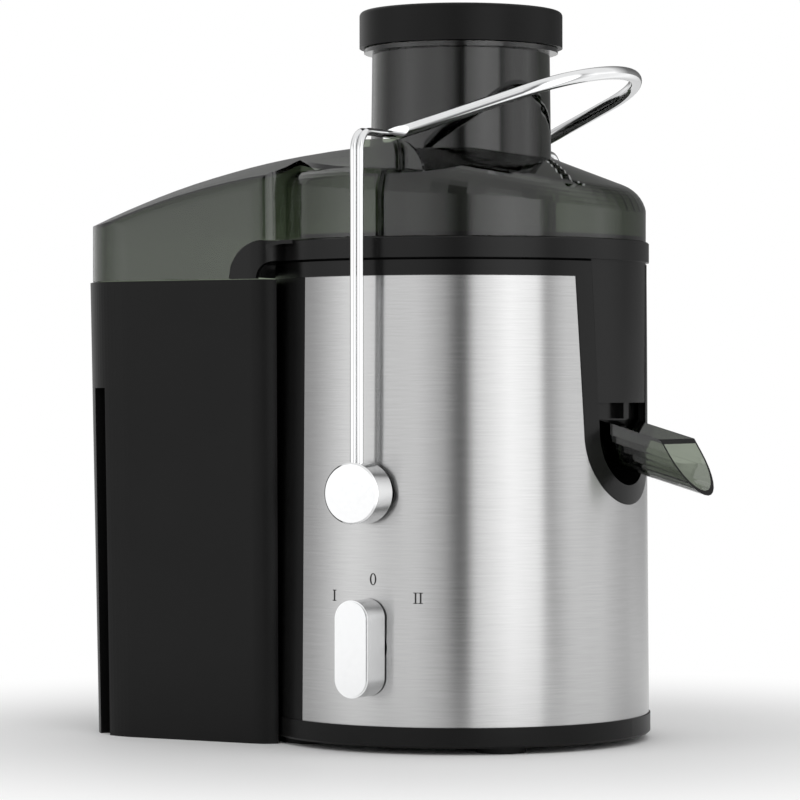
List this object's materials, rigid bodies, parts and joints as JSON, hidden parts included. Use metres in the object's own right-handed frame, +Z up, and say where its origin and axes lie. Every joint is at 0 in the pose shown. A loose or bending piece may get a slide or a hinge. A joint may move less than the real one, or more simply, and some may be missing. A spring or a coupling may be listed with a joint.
{
  "type": "centrifugal juicer",
  "caption": "Centrifugal juicer: motor base in brushed steel, smoked lid with wide feed tube and pusher, sieve basket, tilted spout, side pulp container and a wire bail that locks the lid.",
  "frame": {"origin": "On the surface the juicer stands on, under the middle of its footprint (between the pulp container's far end and the spout's lip).", "axes": "+Z up, +X from the pulp container towards the juice spout, -Y the front with the selector knob; the motor's axis is vertical at X 24.1 mm, Y 0."},
  "size_m": [0.3102, 0.216, 0.3509],
  "materials": {
    "housing_black": "satin moulded plastic",
    "trim_black": "half gloss moulded plastic",
    "container_black": "fine satin grain",
    "brushed_sheet": "brushed along the girth",
    "bright_steel": "turned or ground",
    "sieve_steel": "etched and formed sheet",
    "chrome": "polished plating",
    "knob_silver": "satin silver lacquer",
    "smoked_clear": "clear smoked plastic, polished",
    "rubber_black": "matt moulded rubber",
    "lamination": "stacked punched sheets",
    "copper_wire": "enamelled copper",
    "carbon": "pressed carbon",
    "bracket_metal": "die cast, as it comes",
    "switch_grey": "moulded, matt"
  },
  "bodies": {
    "base": {"base_tray": "housing_black", "rubber_feet": "rubber_black", "housing_screws": "bright_steel", "motor_housing": "housing_black", "steel_wrap": "brushed_sheet", "housing_trim": "trim_black", "cord_gland": "rubber_black", "juice_bowl": "trim_black", "feed_lid": "smoked_clear", "shaft_seal": "rubber_black", "stator_core": "lamination", "field_coils": "copper_wire", "upper_bracket": "bracket_metal", "lower_bracket": "bracket_metal", "upper_bearing": "bright_steel", "lower_bearing": "bright_steel", "brush_holders": "switch_grey", "carbon_brushes": "carbon", "motor_bolts": "bright_steel", "motor_mounts": "rubber_black", "interlock_switch": "switch_grey", "selector_switch": "switch_grey"},
    "rotor": {"motor_shaft": "bright_steel", "armature_core": "lamination", "armature_windings": "copper_wire", "commutator": "copper_wire", "cooling_fan": "housing_black", "drive_coupling": "housing_black", "sieve_hub": "housing_black", "sieve_cone": "sieve_steel", "sieve_rim": "housing_black", "grating_disc": "sieve_steel"},
    "bail": {"front_leg_wires": "chrome", "rear_leg_wires": "chrome", "grip_loop": "chrome", "front_pivot_cap": "chrome", "rear_pivot_cap": "chrome", "pivot_pins": "bright_steel", "pivot_clips": "bright_steel", "interlock_cam": "housing_black"},
    "plunger": {"switch_plunger": "knob_silver"},
    "selector": {"selector_knob": "knob_silver", "selector_shaft": "bright_steel"},
    "pusher": {"pusher_body": "trim_black", "pusher_cap": "trim_black"},
    "container": {"pulp_container": "container_black"},
    "spout": {"spout": "smoked_clear"}
  },
  "joints": [
    {"name": "bail_swing", "type": "hinge", "parent": "base", "child": "bail", "pos_m": [0.02406, 0, 0.1205], "axis": [0, 1, 0], "range_deg": [0, 95]},
    {"name": "plunger_slide", "type": "slide", "parent": "base", "child": "plunger", "axis": [1, 0, 0], "range_m": [0, 0.003]},
    {"name": "selector_turn", "type": "hinge", "parent": "base", "child": "selector", "pos_m": [0.02406, -0.1, 0.049], "axis": [0, 1, 0], "range_deg": [-42, 42]},
    {"name": "rotor_spin", "type": "hinge", "parent": "base", "child": "rotor", "pos_m": [0.02406, 0, 0.1], "axis": [0, 0, 1], "continuous": true},
    {"name": "pusher_lift", "type": "slide", "parent": "base", "child": "pusher", "axis": [0, 0, 1], "range_m": [0, 0.136]},
    {"name": "container_slide", "type": "slide", "parent": "base", "child": "container", "axis": [-1, 0, 0], "range_m": [0, 0.13]},
    {"name": "spout_pull", "type": "slide", "parent": "base", "child": "spout", "axis": [0.9613, 0, -0.2756], "range_m": [0, 0.025]}
  ],
  "couplings": [
    {"joint": "plunger_slide", "follows": "bail_swing", "m_per_rad": 0.0018}
  ]
}
